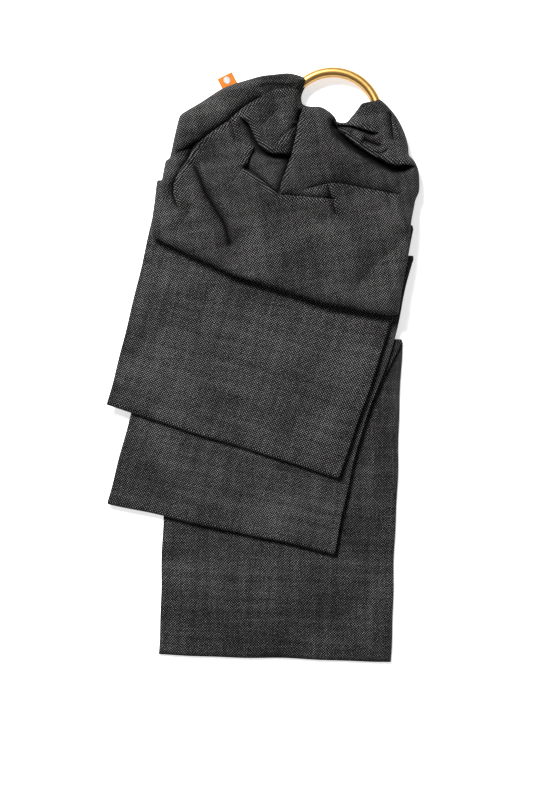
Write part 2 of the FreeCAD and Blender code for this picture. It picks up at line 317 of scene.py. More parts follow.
def strip_section(width, plies=(26, 26, 46)):
    """Distances from the left edge, heights, and distances along the cloth, all in mm."""
    across, height = [], []
    half_turn = np.linspace(0, math.pi, 7)[1:-1]
    left, right = FOLD_INSET + TURN, width - FOLD_INSET - TURN
    across += list(np.linspace(0.6, right, plies[0]))
    height += [PLY_HEIGHTS[0]] * plies[0]
    across += list(right + TURN * np.sin(half_turn))
    height += list(PLY_HEIGHTS[0] + TURN - TURN * np.cos(half_turn))
    across += list(np.linspace(right, left, plies[1]))
    height += [PLY_HEIGHTS[1]] * plies[1]
    across += list(left - TURN * np.sin(half_turn))
    height += list(PLY_HEIGHTS[1] + TURN - TURN * np.cos(half_turn))
    hem = width - HEM_WIDTH
    top = list(np.linspace(left, hem - 1.8, plies[2]))
    top += [hem - 0.8, hem, hem + 0.8, hem + 2.4, width - 1.6, width - 0.6, width]
    rise = {hem - 0.8: -0.2, hem: -0.4, hem + 0.8: 0.2, hem + 2.4: 0.35, width - 1.6: 0.3}
    across += top
    height += [PLY_HEIGHTS[2] + rise.get(x, 0) for x in top]
    across, height = np.array(across), np.array(height)
    steps = np.hypot(np.diff(across), np.diff(height))
    return across, height, np.concatenate([[0], np.cumsum(steps)])


FOLDED_WIDTH = float(np.linalg.norm(corners["tail_panel"][1] - corners["tail_panel"][0]))
across, height, unrolled = strip_section(FOLDED_WIDTH)
share = across / FOLDED_WIDTH
HEIGHT_SUM = PLY_HEIGHTS[0] + PLY_HEIGHTS[2]

# %% [markdown]
# ## Panels and folds
# A fold is the strip's section turned half round, from the height it has in the panel below to
# the height it has in the panel above. The outermost ply goes round the largest circle. The
# panel's rows then run on to the next fold. A fold and the panel above it are one mesh.

# %% Rows of one panel
BOW = 13.0
LAYER_STEP = 4.0
SET_BACK = (PLY_HEIGHTS[2] - PLY_HEIGHTS[0] + LAYER_STEP) / 2 + CLOTH / 2
CORNER_OUT = 6.5
CORNER_FROM = 0.86
TURN_RADIUS = 2.2
EDGE_SHIFTS = {
    "fold_panel_1": ([0, 0], [0, -6.5, -12.5, -11, -8.5, -4, 0]),
    "fold_panel_2": ([0, 1.5, 0], [0, -3.5, -4.8, -4.5, -1, 3.4, 0.5, 0]),
    "fold_panel_4": ([0, 2.5, 0], [0, 2.5, 4.5, 3.5, 0]),
}


FINE_STEPS, SMOOTHINGS = 41, 8


def edge_shift(layer, t):
    """How far a panel's left and right edges stand off a straight line, in mm."""
    shifts = EDGE_SHIFTS.get(PANELS[layer], ([0, 0], [0, 0]))
    return [np.interp(t, np.linspace(0, 1, FINE_STEPS), soft_steps(values)) for values in shifts]


def soft_steps(values):
    """A list of values spread over many fine steps and smoothed."""
    fine = np.interp(np.linspace(0, 1, FINE_STEPS), np.linspace(0, 1, len(values)), values)
    for _ in range(SMOOTHINGS):
        fine[1:-1] = (fine[:-2] + 2 * fine[1:-1] + fine[2:]) / 4
    return fine


def heights_in(layer):
    """The section's heights in a panel: as drawn on even ones, mirrored on odd ones."""
    mirrored = np.maximum(HEIGHT_SUM - height, PLY_HEIGHTS[0] - 0.1)
    return base[layer] + (height if layer % 2 == 0 else mirrored)


def line_points(layer, far):
    """The section's points in plan at a panel's near or far line, set back from the fold."""
    front_left, front_right, back_left, back_right = corners[PANELS[layer]]
    at_back = far == (layer % 2 == 0)
    left, right = (back_left, back_right) if at_back else (front_left, front_right)
    points = left + np.outer(share, right - left)
    number = layer + 1 if far else layer
    if number == 0:
        return points
    _, _, outward = fold_line(number)
    if number == 6:
        points = points + np.outer(4 * share * (1 - share) * BOW, outward)
    if number == 3:
        corner = ease((share - CORNER_FROM) / 0.14)
        points = points + np.outer(CORNER_OUT * corner, outward)
    return points - outward * SET_BACK


def panel_rows(layer, step):
    near, far = line_points(layer, False), line_points(layer, True)
    reach = np.linalg.norm((far - near).mean(0))
    count = max(3, int(reach / step) + 1)
    rows = []
    for t in np.linspace(0, 1, count):
        row = near + (far - near) * t
        left_shift, right_shift = edge_shift(layer, t)
        row[:, 0] += left_shift * (1 - share) + right_shift * share
        rows.append((row, heights_in(layer), t * reach))
    return rows, reach


def fold_rows(number, steps=9):
    """The half turn at a fold, from the panel below to the panel above."""
    start = line_points(number - 1, True)
    low, high = heights_in(number - 1), heights_in(number)
    middle, radius = (low + high) / 2, (high - low) / 2
    _, _, outward = fold_line(number)
    rows = []
    for angle in np.linspace(0, math.pi, steps):
        row = start + np.outer(radius * math.sin(angle), outward)
        rows.append((row, middle - radius * math.cos(angle), angle * TURN_RADIUS))
    return rows, math.pi * TURN_RADIUS


def rows_to_piece(name, rows, along_start, flip):
    points, uv = [], []
    for row, z, along in rows:
        points.append(np.column_stack([wander(row, z), z + ripple(row, z)]))
        uv.append(np.column_stack([unrolled, np.full(len(unrolled), along_start + along)]))
    points, uv = np.concatenate(points), np.concatenate(uv)
    faces = grid_faces(len(rows), len(share), flip)
    return thicken(piece_from(name, points, faces, uv, cloth), CLOTH)


# %% Make the stack
ROW_STEP = 5.0
strip_along = 0.0
for layer in range(6):
    rows, reach = panel_rows(layer, ROW_STEP)
    start = strip_along
    if layer:
        turn, turn_length = fold_rows(layer)
        rows = turn[:-1] + [(row, z, along + turn_length) for row, z, along in rows]
        reach += turn_length
    made = rows_to_piece(f"cloth_{PANELS[layer]}", rows, start, flip=True)
    strip_along += reach
    if layer == 0:
        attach(made, "tail")
    else:
        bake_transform(made)
    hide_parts(PANELS[layer])

# %% [markdown]
# ## The fold under the shoulder
# The last fold leads from the fifth panel up into the shoulder. Its upper half ends inside the
# shoulder's cloth, and it is a piece of its own.

# %% The front fold
rows, reach = fold_rows(6)
inward = -fold_line(6)[2]
TUCK = (3, 6, 9, 12)
last_row, last_z, last_along = rows[-1]
tuck = [(last_row + inward * d, last_z, last_along + d) for d in TUCK]
front_fold = rows_to_piece("cloth_front_fold", rows + tuck, strip_along, flip=True)
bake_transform(front_fold)
strip_along += reach

# %% [markdown]
# ## The gathered shoulder
# The top of the sling is the part that takes the eye: the cloth is pleated towards the rings,
# and the pleats fall in folds that overlap. It could come from a simulation, but then the
# creases land by chance. It is drawn here as a tailor would chalk it: an outline, a puffed
# surface between top and underside, and a list of creases. Each crease is a line with a raised
# lip on one side and a hollow on the other. The surface is a triangle mesh with extra points
# laid along every crease, so that a lip can stand sharp over its hollow.

# %% The outline, counted from the rings' centre
OUTLINE = [
    (-164.9, -107.4), (-157, -112.7), (-132.4, -125), (-114.8, -132.9), (-92.8, -143.5),
    (-70.7, -150.6), (-38.8, -160.1), (-12.4, -169), (14, -174.2), (36, -178.6),
    (53.7, -180.4), (58.7, -178.3), (63.2, -150), (68.2, -124), (70.4, -97),
    (73.9, -81.4), (75.7, -74.3), (78.8, -67.2), (79.3, -58.5), (78.3, -47),
    (74.7, -39.1), (69.9, -33.8), (69, -25), (65.1, -11.8), (58.1, 1.4),
    (49.3, 12), (42.2, 17.2), (35.5, 15.4), (30.9, 14.8), (26.4, 13.5),
    (22.6, 8.3), (17.4, 1.9), (11.5, -4), (4.4, -3.4), (2.5, 0.6),
    (-2.6, 5.7), (-11, 10.3), (-22.7, 10.9), (-27.5, 13.5), (-28.5, 20.6),
    (-23.6, 33), (-25.2, 36.4), (-31.5, 39.2), (-40.6, 41), (-51.2, 40.2),
    (-65.3, 38.5), (-78, 35), (-91.3, 30.8), (-102.5, 26.2), (-111, 20.9),
    (-121.6, 13.9), (-137.2, 4.6), (-140.3, 1.1), (-144.7, -16.6), (-149.1, -36.4),
    (-152.5, -39.5), (-155.3, -58), (-159.2, -58.8), (-161.7, -77),
]


def smooth_closed(points, spacing):
    """A closed curve through the points, as evenly spaced points."""
    points = np.array(points, float)
    fine = []
    for i in range(len(points)):
        a, b, c, d = (points[(i + k) % len(points)] for k in (-1, 0, 1, 2))
        for t in np.linspace(0, 1, 12, endpoint=False):
            fine.append(curve_point(a, b, c, d, t))
    fine.append(fine[0])
    return evenly(np.array(fine), spacing)[:-1]


def curve_point(a, b, c, d, t):
    """A point between b and c on the curve that also knows its neighbours a and d."""
    tangent_b, tangent_c = (c - a) / 2, (d - b) / 2
    reach = np.linalg.norm(c - b)
    for tangent in (tangent_b, tangent_c):
        long = np.linalg.norm(tangent)
        if long > reach:
            tangent *= reach / long
    t2, t3 = t * t, t * t * t
    return (
        (2 * t3 - 3 * t2 + 1) * b
        + (t3 - 2 * t2 + t) * tangent_b
        + (3 * t2 - 2 * t3) * c
        + (t3 - t2) * tangent_c
    )


def evenly(points, spacing):
    along = np.concatenate([[0], np.cumsum(np.linalg.norm(np.diff(points, axis=0), axis=1))])
    at = np.linspace(0, along[-1], int(along[-1] / spacing) + 1)
    return np.column_stack([np.interp(at, along, points[:, k]) for k in range(2)])


def smooth_open(points, spacing):
    points = np.array(points, float)
    padded = np.vstack([2 * points[0] - points[1], points, 2 * points[-1] - points[-2]])
    fine = []
    for i in range(1, len(padded) - 2):
        for t in np.linspace(0, 1, 10, endpoint=False):
            fine.append(curve_point(*padded[i - 1 : i + 3], t))
    fine.append(points[-1])
    return evenly(np.array(fine), spacing)


GRID = 1.6
rim = smooth_closed(OUTLINE, GRID * 0.9)
print(f"shoulder outline: {len(rim)} points, {len(OUTLINE)} of them drawn")

# %% [markdown]
# ### The creases
# Each crease: the line it follows, then the lip's height and breadth and the hollow's depth and
# breadth, in millimetres. The lip is on the left of the line as it is walked. A strong crease
# has both, a pinch has a hollow alone, and a soft dip has a broad hollow.

# %% The creases
CREASES = {
    "hood_over_bundle": (
        [(-60.8, 21.9), (-64.9, 16.8), (-70.5, 13.2), (-78.2, 8.1), (-85.4, 3), (-92.5, -3.1),
         (-99.7, -8.8), (-107.9, -14.4), (-115, -19.5), (-121.1, -25.1), (-127, -33),
         (-132, -41)],
        3.6, 12, 9.0, 4.2),
    "left_hollow": (
        [(-123, -27), (-128, -35), (-133.4, -44), (-138.5, -52.2), (-142.1, -60.4),
         (-143.6, -67.5), (-142.6, -74.7), (-138, -88)], 2.2, 7, 8.0, 3.4),
    "hood_corner": ([(-119, -25), (-126, -28), (-132.4, -30.7), (-143, -35)], 1.4, 5, 5.5, 3.0),
    "left_slip": ([(-146.2, -60.4), (-147.7, -69.6), (-148.7, -80.8)], 1.0, 3, 2.4, 2.0),
    "long_left": (
        [(-129, -38), (-126, -45), (-123.7, -50), (-121.1, -56), (-118.1, -63.5), (-114, -72.7),
         (-107.9, -82.9), (-102.8, -91.1), (-98.7, -98.2), (-96.1, -106.4), (-92, -126)],
        0.3, 16, 6.4, 4.2),
    "long_left_ridge": (
        [(-119, -42), (-112, -58), (-105, -72), (-97, -85), (-90, -97), (-86, -112)],
        0.0, 6, -3.2, 8),
    "short_left": ([(-92.5, -3.7), (-90.5, -9.3), (-88.9, -15.4), (-87.4, -24)], 2.4, 4, 4.6, 2.6),
    "centre_wave": (
        [(-86.5, -1.6), (-79.2, -4.2), (-74.6, -10.3), (-71.1, -18.5), (-66, -26.7),
         (-59.8, -31.8), (-54.7, -33.8), (-47.6, -33.8), (-36, -34.8)], 4.2, 12, 9.5, 4.8),
    "pocket_side": ([(-81.8, -47), (-78.2, -42), (-76.2, -35.9), (-71, -27)], 2.0, 5, 4.0, 3.0),
    "pocket_tail": ([(-80, -46), (-87.4, -55.3), (-92.5, -63)], 0.9, 4, 2.6, 2.6),
    "pocket_front": (
        [(-48, -74), (-56.8, -68.1), (-62.9, -61.9), (-69, -56.3), (-76.2, -51.2), (-83.5, -46)],
        3.2, 10, 8.0, 4.2),
    "pleat_edge": (
        [(-25, 12), (-29.2, 0.9), (-31.2, -7.2), (-32.7, -15.4), (-34.8, -24.6), (-37.3, -34.8),
         (-40.4, -44), (-44, -54.3), (-46.5, -61.4), (-50, -74.5)], 4.4, 16, 7.5, 3.6),
    "pleat_head": ([(-28, 6), (-31.5, -1), (-33, -6)], 0.3, 3, 4.0, 4),
    "pleat_foot": ([(9, -78), (-3.6, -76.7), (-15.9, -76.2), (-27.1, -75.2), (-38.4, -74.2),
                    (-52, -72.6)], 2.8, 9, 6.5, 3.4),
    "pleat_hem": (
        [(64, -66), (61, -69.8), (57.7, -71.9), (53.1, -70.9), (45.3, -69.9), (34.7, -67.9),
         (24.2, -65.9), (13.7, -63.6), (4.5, -62.3), (-3.4, -62), (-12.6, -64.6), (-31, -68.5)],
        3.2, 10, 7.5, 4.0),
    "tongue_side": ([(-4.5, -64), (-1.4, -73.8), (0.6, -81.7), (3.2, -92)], 1.6, 7, 6.5, 3.0),
    "right_roll": (
        [(-1, 2), (1.2, -2.9), (4.5, -8.8), (7.1, -13.4), (13.7, -19.9), (21.6, -25.9),
         (30.8, -31.8), (40, -37.3), (46.6, -40.3), (55.8, -44.3), (66.3, -43.9), (77, -47)],
        4.4, 9, 11.0, 6.4),
    "roll_inner": (
        [(12, -12), (15, -14.7), (19, -19.9), (25.5, -25.2), (34.7, -31.3), (42.6, -33.4),
         (48.5, -31), (49, -26)], 0.9, 3, 3.6, 1.8),
    "roll_pocket": ([(26, -20), (32, -22.8), (38, -25), (45.5, -27)], 0.3, 4, 6.5, 3.4),
    "roll_gather": ([(0, -6), (5, -7.3), (10, -8.2), (17.7, -9), (28.2, -12.1), (42, -16)],
                    2.4, 6, 7.5, 3.2),
    "right_gather": ([(53, 5), (53.4, -5), (54.2, -13), (55.3, -24)], 2.8, 6, 6.0, 3.0),
    "right_top_fold": ([(33, 9.8), (26, 7), (17, 2.6)], 1.4, 4, 3.6, 2.0),
    "wave_crossing": ([(-30.5, -6), (-40.4, -14.9), (-47.6, -21.5), (-55, -30)], 2.2, 4, 4.0, 3.2),
    "wave_dip": ([(-48, 8), (-57, -1), (-67, -12)], 0.2, 6, 3.4, 4.2),
    "mouth_fold": ([(-25, 23), (-42.4, 23.4), (-52, 23), (-62, 20)], 2.6, 5, 5.0, 2.6),
    "mouth_valley": ([(-33, 27), (-48.6, 28.6), (-57.8, 28.8), (-71, 25)], 0.3, 3, 4.2, 2.2),
    "top_valley": ([(-36, 32), (-50.6, 33), (-62.9, 33), (-78, 31)], 0.2, 4, 2.4, 2.2),
    "front_right_valley": (
        [(67, -104), (55.8, -121), (40, -133), (28, -148), (16, -166)], 0.3, 16, 5.0, 9),
    "front_left_valley": ([(-95, -112), (-88, -124), (-80, -134), (-68, -144)], 0.3, 8, 4.5, 6),
    "front_centre_valley": (
        [(-48, -136), (-30, -140), (-12, -146), (4, -152)], 0.3, 12, 2.6, 10),
    "left_dimple": ([(-127, -80), (-131, -89), (-135, -96), (-141, -103)], 0.2, 6, 4.2, 5),
    "left_hem": ([(-149.5, -58), (-152, -72), (-154, -88), (-157.5, -110)], 0.5, 3, 1.4, 1.6),
    "cuff_hook": ([(44, -58), (50, -52.5), (57, -53), (61, -60), (62, -68)], 0.5, 3, 1.6, 3),
    "cuff_dip": ([(49, -70), (51, -78), (50.5, -86)], 0.2, 5, 3.4, 3.2),
    "side_dip": ([(66, -52), (70, -66), (67, -80), (60, -90)], 0.2, 5, 2.8, 4.5),
    "seam_pinch_1": ([(-14, -92), (-8, -98), (0, -101)], 0.4, 3, 1.6, 2.5),
    "seam_pinch_2": ([(1, -88), (6, -95), (14, -101)], 0.5, 3, 2.2, 3),
}


def crease_offsets(xy, line):
    """Signed distance from a line, positive on its left, and how far along it, 0 to 1."""
    starts, ends = line[:-1], line[1:]
    steps = ends - starts
    lengths = np.linalg.norm(steps, axis=1)
    travelled = np.concatenate([[0], np.cumsum(lengths)])
    best = np.full(len(xy), 1e9)
    signed, share_along = np.zeros(len(xy)), np.zeros(len(xy))
    for i, step in enumerate(steps):
        offset = xy - starts[i]
        t = np.clip(offset @ step / (lengths[i] ** 2), 0, 1)
        gap = offset - np.outer(t, step)
        distance = np.linalg.norm(gap, axis=1)
        closer = distance < best
        side = np.sign(step[0] * offset[:, 1] - step[1] * offset[:, 0])
        best[closer] = distance[closer]
        signed[closer] = (distance * np.where(side == 0, 1, side))[closer]
        share_along[closer] = ((travelled[i] + t * lengths[i]) / travelled[-1])[closer]
    return signed, share_along


crease_lines = {name: smooth_open(spec[0], GRID) for name, spec in CREASES.items()}
print(len(crease_lines), "creases")

# %% [markdown]
# ### Points and triangles
# The outline is a fixed edge. Points follow on loops just inside it, where the surface turns
# over, then along both sides of every crease, then on an even grid, and a point that would fall
# too near an earlier one is dropped. Delaunay's rule joins them.

# %% Lay the points and join them
def inward_normals(loop):
    tangent = np.roll(loop, -1, axis=0) - np.roll(loop, 1, axis=0)
    tangent /= np.linalg.norm(tangent, axis=1)[:, None]
    return np.column_stack([-tangent[:, 1], tangent[:, 0]])


def rim_distance(xy):
    best = np.full(len(xy), 1e9)
    ends = np.roll(rim, -1, axis=0)
    for a, b in zip(rim, ends):
        step = b - a
        t = np.clip((xy - a) @ step / (step @ step), 0, 1)
        best = np.minimum(best, np.linalg.norm(xy - a - np.outer(t, step), axis=1))
    return best


def inside(xy):
    ends = np.roll(rim, -1, axis=0)
    odd = np.zeros(len(xy), bool)
    for (ax, ay), (bx, by) in zip(rim, ends):
        if ay == by:
            continue
        crosses = (ay > xy[:, 1]) != (by > xy[:, 1])
        odd ^= crosses & (xy[:, 0] < (bx - ax) * (xy[:, 1] - ay) / (by - ay) + ax)
    return odd


class Spaced:
    """Keeps points that are at least a given distance from those kept before."""

    def __init__(self):
        self.points, self.cells = [], {}

    def add(self, point, gap):
        cell = (int(point[0] // 1.5), int(point[1] // 1.5))
        for dx in (-1, 0, 1):
            for dy in (-1, 0, 1):
                for other in self.cells.get((cell[0] + dx, cell[1] + dy), ()):
                    if math.hypot(other[0] - point[0], other[1] - point[1]) < gap:
                        return False
        self.cells.setdefault(cell, []).append(tuple(point))
        self.points.append(tuple(point))
        return True


RIM_DEPTHS = (0.25, 0.8, 1.7, 3.0, 4.6, 6.5)
CREASE_OFFSETS = (0.0, 0.45, 0.95, -0.8, 1.6, -1.7, 2.6, -2.8, -4.0)


def lay_points(step, lines):
    """The rim, loops inside it, points along the given lines, and an even grid."""
    spaced = Spaced()
    for point in rim:
        spaced.add(point, 0)
    for depth in RIM_DEPTHS:
        loop = rim + inward_normals(rim) * depth
        for point in loop[inside(loop) & (rim_distance(loop) > depth * 0.8)]:
            spaced.add(point, min(0.2 + depth * 0.3, step * 0.6))
    for offset in CREASE_OFFSETS:
        for line in lines:
            tangent = np.gradient(line, axis=0)
            tangent /= np.linalg.norm(tangent, axis=1)[:, None]
            shifted = line + np.column_stack([-tangent[:, 1], tangent[:, 0]]) * offset
            for point in shifted[inside(shifted) & (rim_distance(shifted) > 1.5)]:
                spaced.add(point, 0.4)
    low, high = rim.min(0), rim.max(0)
    rows = np.arange(low[1], high[1], step * 0.87)
    columns = np.arange(low[0], high[0], step)
    grid = [(x + step / 2 * (i % 2), y) for i, y in enumerate(rows) for x in columns]
    grid = np.array(grid)
    grid = grid[inside(grid)]
    for point in grid[rim_distance(grid) > RIM_DEPTHS[-1]]:
        spaced.add(point, step * 0.75)
    return np.array(spaced.points)


def join_points(points):
    """Delaunay triangles inside the rim; the points may come back in another number."""
    count = len(rim)
    edges = [(i, (i + 1) % count) for i in range(count)]
    result = delaunay_2d_cdt([Vector(p) for p in points], edges, [], 1, 1e-5)
    return np.array([tuple(v) for v in result[0]]), np.array([tuple(f) for f in result[2]])


plan, triangles = join_points(lay_points(GRID, crease_lines.values()))
plan_below, triangles_below = join_points(lay_points(GRID * 2.5, []))
rim_count = len(rim)
print(f"shoulder: {len(triangles)} triangles on top, {len(triangles_below)} below")

# %% [markdown]
# ### Heights
# The underside lies on the stack, then comes down to the floor behind it. The cloth inside the
# bundle isn't built: this is a shell, which is all that shows.
# The puff between underside and top is thin over the stack and thick where the rings are
# inside. Near the outline both turn over in a quarter round and meet.

# %% Underside, top and creases
UNDERSIDE = base[6] + 0.3
PUFF_OVER_STACK = 15.0
PUFF_OVER_RINGS = 30.0
TOP_ROUND, UNDER_ROUND = 10.0, 3.5
RIM_SHARE = 0.36
OVERHANG = 1.6


def heights_of(xy):
    """Underside and uncreased top of the shoulder, at plan points in the frame."""
    beyond = past(xy, 5)
    under = UNDERSIDE - (UNDERSIDE - 0.5) * ease((beyond + 3) / 34)
    puff = PUFF_OVER_STACK + (PUFF_OVER_RINGS - PUFF_OVER_STACK) * ease((beyond + 12) / 46)
    return under, under + puff


DEEPER, BROADER = 1.25, 1.15
BROAD_HOLLOW = 6.5


def crease_height(xy):
    """What the creases add, how far they push points over the hollow, and where shade is painted
    in the hollows.
    """
    rise, dark = np.zeros(len(xy)), np.zeros(len(xy))
    push = np.zeros((len(xy), 2))
    for name, line in crease_lines.items():
        _, lip, lip_width, hollow, hollow_width = CREASES[name]
        hollow, hollow_width = DEEPER * hollow, BROADER * hollow_width
        signed, along = crease_offsets(xy, line)
        taper = ease(along / 0.13) * ease((1 - along) / 0.15)
        away = np.abs(signed)
        sharpness = ease((lip - 0.45) / 1.2)
        wall = ease(signed / 1.1)
        crown = 0.8 + 0.2 * ease(signed / 4)
        crown *= np.exp(-((np.maximum(signed - 2.5, 0) / lip_width) ** 2))
        steepness = 2.2 if sharpness > 0.5 and hollow_width > BROAD_HOLLOW else 1.3
        dip = -hollow * np.exp(-((away / hollow_width) ** steepness))
        folded = lip * wall * crown - hollow * (1 - wall)
        shape = np.where(signed > 0, dip + (folded - dip) * sharpness, dip)
        rise += shape * taper
        dark += np.maximum(-shape * taper, 0) * ease(hollow / hollow_width - 0.55)
        tangent = np.gradient(line, axis=0)
        tangent /= np.linalg.norm(tangent, axis=1)[:, None]
        index = np.clip((along * (len(line) - 1)).round().astype(int), 0, len(line) - 1)
        toward_hollow = np.column_stack([tangent[index, 1], -tangent[index, 0]])
        reach = OVERHANG * sharpness * wall * np.exp(-((np.maximum(signed - 1, 0) / 2) ** 2))
        push += toward_hollow * (reach * taper * (signed > 0))[:, None]
    return rise, push, dark


def soft_noise(xy, size, seed):
    return np.array([noise.noise(Vector((x / size, y / size, seed))) for x, y in xy])


def box_mask(xy, low, high, soft):
    edges = np.minimum(xy - np.array(low), np.array(high) - xy).min(1)
    return ease(edges / soft + 0.5)


def rounded(depth, radius):
    return np.sqrt(np.clip(1 - (1 - np.clip(depth / radius, 0, 1)) ** 2, 0, 1))


plan_frame = plan + ring_centre
under, top = heights_of(plan_frame)
depth = rim_distance(plan)
depth[:rim_count] = 0
rim_level = under + (top - under) * RIM_SHARE
rise, push, dark = crease_height(plan)
fade = ease(depth / 5)
top_z = rim_level + (top - rim_level) * rounded(depth, TOP_ROUND)
top_z += rise * (0.35 + 0.65 * fade) * (depth > 0)
top_z += (soft_noise(plan, 26, 3.1) * 1.6 + soft_noise(plan, 9, 7.7) * 0.5) * fade
cuff_ribs = box_mask(plan, (15, -97), (57, -74), 8) * np.sin(plan[:, 0] * 2 * math.pi / 3.1)
hem_ribs = box_mask(plan, (-163, -112), (-149, -60), 4) * np.sin(plan[:, 1] * 2 * math.pi / 2.6)
top_z += 0.4 * cuff_ribs + 0.35 * hem_ribs

# %% [markdown]
# ### Room for the rings
# The rings lie inside the bundle. Wherever a ring passes under the cloth, the cloth stays above
# it, so that no crease cuts down to the metal.

# %% Keep the cloth over the rings
ring_outer = (ring_high - ring_low)[0] / 2
bar_radius = (ring_high - ring_low)[2] / 2
bar_middle = ring_outer - bar_radius
from_bar = np.abs(np.linalg.norm(plan + push, axis=1) - bar_middle)
over_bar = ring_high[2] + 1.3 - 9 * ease((from_bar - bar_radius) / 6)
near_bar = from_bar < bar_radius + 6
top_z = np.where(near_bar & (depth > 2.5), np.maximum(top_z, over_bar), top_z)
low_limit = np.interp(depth, [0, 1, 4], [0, 0.8, 2.4])
floor_level = rim_level - (rim_level - under) * rounded(depth, UNDER_ROUND)
top_z = np.maximum(top_z, floor_level + low_limit)

# %% The shoulder's cloth
under_b, top_b = heights_of(plan_below + ring_centre)
depth_b = rim_distance(plan_below)
depth_b[:rim_count] = 0
rim_level_b = under_b + (top_b - under_b) * RIM_SHARE
under_z = rim_level_b - (rim_level_b - under_b) * rounded(depth_b, UNDER_ROUND)
heading = math.radians(80)
turn_uv = np.array([[math.sin(heading), math.cos(heading)],
                    [-math.cos(heading), math.sin(heading)]])
uv_top = plan @ turn_uv.T + [330, strip_along]
uv_below = plan_below @ turn_uv.T + [330, strip_along]
top_points = np.column_stack([plan_frame + push * fade[:, None], top_z])
# Painted shade: deep hollows get a mask that mixes the cloth's colour towards black, the whole top
# gets a tenth of it, and the underside gets none.
painted_crease_shade = 0.1 + 0.9 * ease((dark - 2.2) / 6.5) * (depth > 0)
painted_crease_shade = np.concatenate([painted_crease_shade, np.zeros(len(plan_below) - rim_count)])
under_points = np.column_stack([plan_below + ring_centre, under_z])[rim_count:]
under_index = np.arange(len(plan_below))
under_index[rim_count:] += len(plan) - rim_count
points = np.vstack([top_points, under_points])
faces = np.vstack([triangles, under_index[triangles_below][:, ::-1]])
uv = np.vstack([uv_top, uv_below[rim_count:]])
shoulder = piece_from("cloth_shoulder", points, faces, uv, cloth)
# The painted crease shade goes on the points as an attribute that the cloth's colour reads.
shoulder.data.attributes.new("painted_crease_shade", "FLOAT", "POINT").data.foreach_set("value", painted_crease_shade)
thicken(shoulder, CLOTH, offset=-1)
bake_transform(shoulder)
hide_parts("shoulder_panel", "ring_channel")

# %% [markdown]
# ## Stitches
# Each hem is held by a row of lockstitches: short dashes of dark thread with small gaps where
# the thread dives through the cloth. A dash is a little six-sided tube that is thick in the
# middle and sinks at both ends. All dashes of a row are one mesh.

# %% Thread
thread, tree, shader = new_material("dark polyester thread", 0.55)
shader.inputs["Specular IOR Level"].default_value = 0.3
place = node(tree, "ShaderNodeTexCoord").outputs["Object"]
twist = node(tree, "ShaderNodeTexNoise", Scale=2200.0, Detail=2.0)
tree.links.new(place, twist.inputs["Vector"])
thread_tints = [(0.35, (0.005, 0.005, 0.0055)), (0.7, (0.03, 0.03, 0.031))]
tint = ramp(tree, twist.outputs["Fac"], thread_tints)
tree.links.new(tint, shader.inputs["Base Color"])
STITCH, GAP = 2.6, 0.7
DASH_SHAPE = ((0, 0.35, -0.5), (0.12, 0.8, 0), (0.5, 1, 0.35), (0.88, 0.8, 0), (1, 0.35, -0.5))


def dash(start, end, radius):
    """One stitch: rings of six points that swell and sink between two points."""
    along = end - start
    length = np.linalg.norm(along)
    along = along / length
    side = np.cross((0, 0, 1), along)
    side /= np.linalg.norm(side)
    up = np.cross(along, side)
    points, faces = [], []
    for t, size, lift in DASH_SHAPE:
        for k in range(6):
            angle = k * math.pi / 3
            offset = side * math.cos(angle) * radius * size
            offset = offset + up * (math.sin(angle) * radius * size + lift * radius)
            points.append(start + along * length * t + offset)
    for ring in range(4):
        for k in range(6):
            a, b = ring * 6 + k, ring * 6 + (k + 1) % 6
            faces.append((a, b, b + 6, a + 6))
    faces += [(5, 4, 3, 2, 1, 0), tuple(24 + k for k in range(6))]
    return points, faces


def stitch_row(name, path, body, *replaced, radius=0.32, material=thread, slot="thread"):
    """A row of stitches along a path of points in the frame, in mm."""
    travelled = np.concatenate([[0], np.cumsum(np.linalg.norm(np.diff(path, axis=0), axis=1))])
    points, faces = [], []
    for start in np.arange(0, travelled[-1] - STITCH, STITCH + GAP):
        ends = [
            np.array([np.interp(at, travelled, path[:, k]) for k in range(3)])
            for at in (start, start + STITCH)
        ]
        new_points, new_faces = dash(*ends, radius)
        faces += [tuple(v + len(points) for v in face) for face in new_faces]
        points += new_points
    row = piece_from(name, points, faces, np.zeros((len(points), 2)), material)
    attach(row, body)
    if replaced:
        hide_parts(*replaced)
    print(name, len(faces) // 26, "stitches")
    return row


def settled(points):
    """Points of the stack, in mm, moved with the cloth as it settles."""
    points = np.array(points)
    xy, z = points[:, :2], points[:, 2]
    return np.column_stack([wander(xy, z), z + ripple(xy, z)])


def side_row(layer):
    """The hem stitching of a panel, along its right edge on the top ply."""
    rows, _ = panel_rows(layer, 6)
    at = (FOLDED_WIDTH - HEM_WIDTH - 0.2) / FOLDED_WIDTH
    first = int(np.argmax(unrolled > unrolled[-1] - 30))
    height_on = base[layer] + PLY_HEIGHTS[2] + CLOTH / 2 + 0.05
    path = []
    for row, _, _ in rows[1:-1]:
        x, y = (np.interp(at, share[first:], row[first:, k]) for k in range(2))
        path.append((x, y, height_on))
    return settled(path)


SIDE_ROWS = {0: "tail_side_stitches", 2: "middle_side_stitches", 4: "front_side_stitches"}
for layer, replaced in SIDE_ROWS.items():
    stitch_row(f"thread_{replaced}", side_row(layer), BODIES[layer], replaced, radius=0.42)

# %% The tail's hem and the channel's seam
near, far = line_points(0, False), line_points(0, True)
hem_at = near + (far - near) * (8.0 / np.linalg.norm((far - near).mean(0)))
first = int(np.argmax(unrolled > unrolled[-1] - FOLDED_WIDTH + 8))
hem_path = [(x, y, PLY_HEIGHTS[2] + CLOTH / 2 + 0.12) for x, y in hem_at[first:-6:2]]
stitch_row("thread_tail_hem", settled(hem_path), "tail", "tail_hem_stitches")
for number in (1, 2):
    node_name = f"channel_seam_row_{number}"
    spots = np.array([v.co for v in frame["nodes"][node_name].data.vertices]) / MM
    ends = spots[[spots[:, 0].argmin(), spots[:, 0].argmax()]]
    ends[:, 2] = spots[:, 2].mean()
    stitch_row(f"thread_channel_{number}", ends, "shoulder", node_name)

